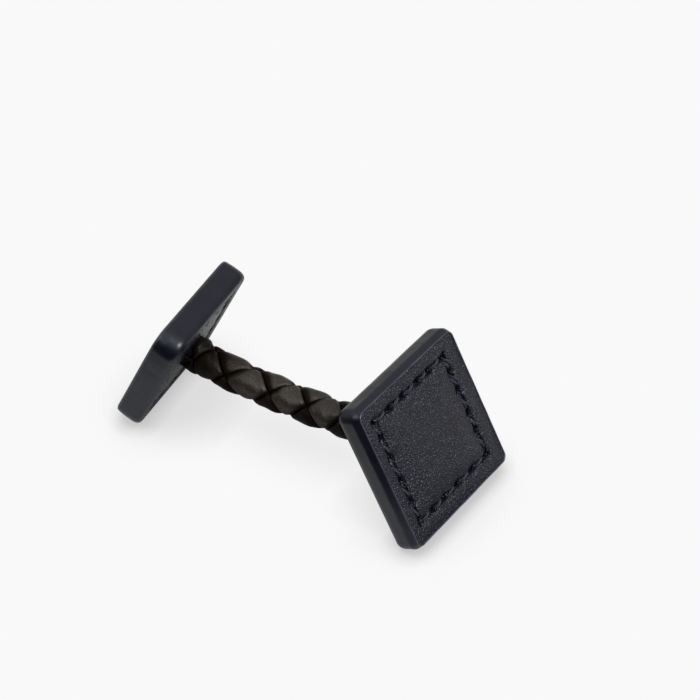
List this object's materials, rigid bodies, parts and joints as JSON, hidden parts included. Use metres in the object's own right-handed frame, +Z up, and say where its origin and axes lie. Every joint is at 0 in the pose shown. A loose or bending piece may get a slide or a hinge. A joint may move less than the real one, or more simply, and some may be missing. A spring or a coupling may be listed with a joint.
{
  "type": "cufflink",
  "caption": "Leather cufflink: square stitched heads with painted edges, joined by a round braided leather link that passes through the buttonholes of a cuff.",
  "frame": {"origin": "middle of the footprint, on the surface that it lies on", "axes": "+X along the braid, from the back head to the front head; +Z up"},
  "size_m": [0.0384, 0.0166, 0.0148],
  "materials": {
    "head_leather": "dark navy smooth calf leather, fine pebble grain, satin, sewn with dark navy thread",
    "edge_paint": "thick dark navy edge paint, rounded, softly glossy",
    "lace_leather": "dark brown-black flat leather lace, wrinkled, semi-gloss"
  },
  "bodies": {
    "root": {"front_face_leather": "head_leather", "front_back_leather": "head_leather", "front_edge_paint": "edge_paint", "back_face_leather": "head_leather", "back_back_leather": "head_leather", "back_edge_paint": "edge_paint", "braid_strand_1": "lace_leather", "braid_strand_2": "lace_leather", "braid_strand_3": "lace_leather", "braid_strand_4": "lace_leather"}
  },
  "joints": []
}
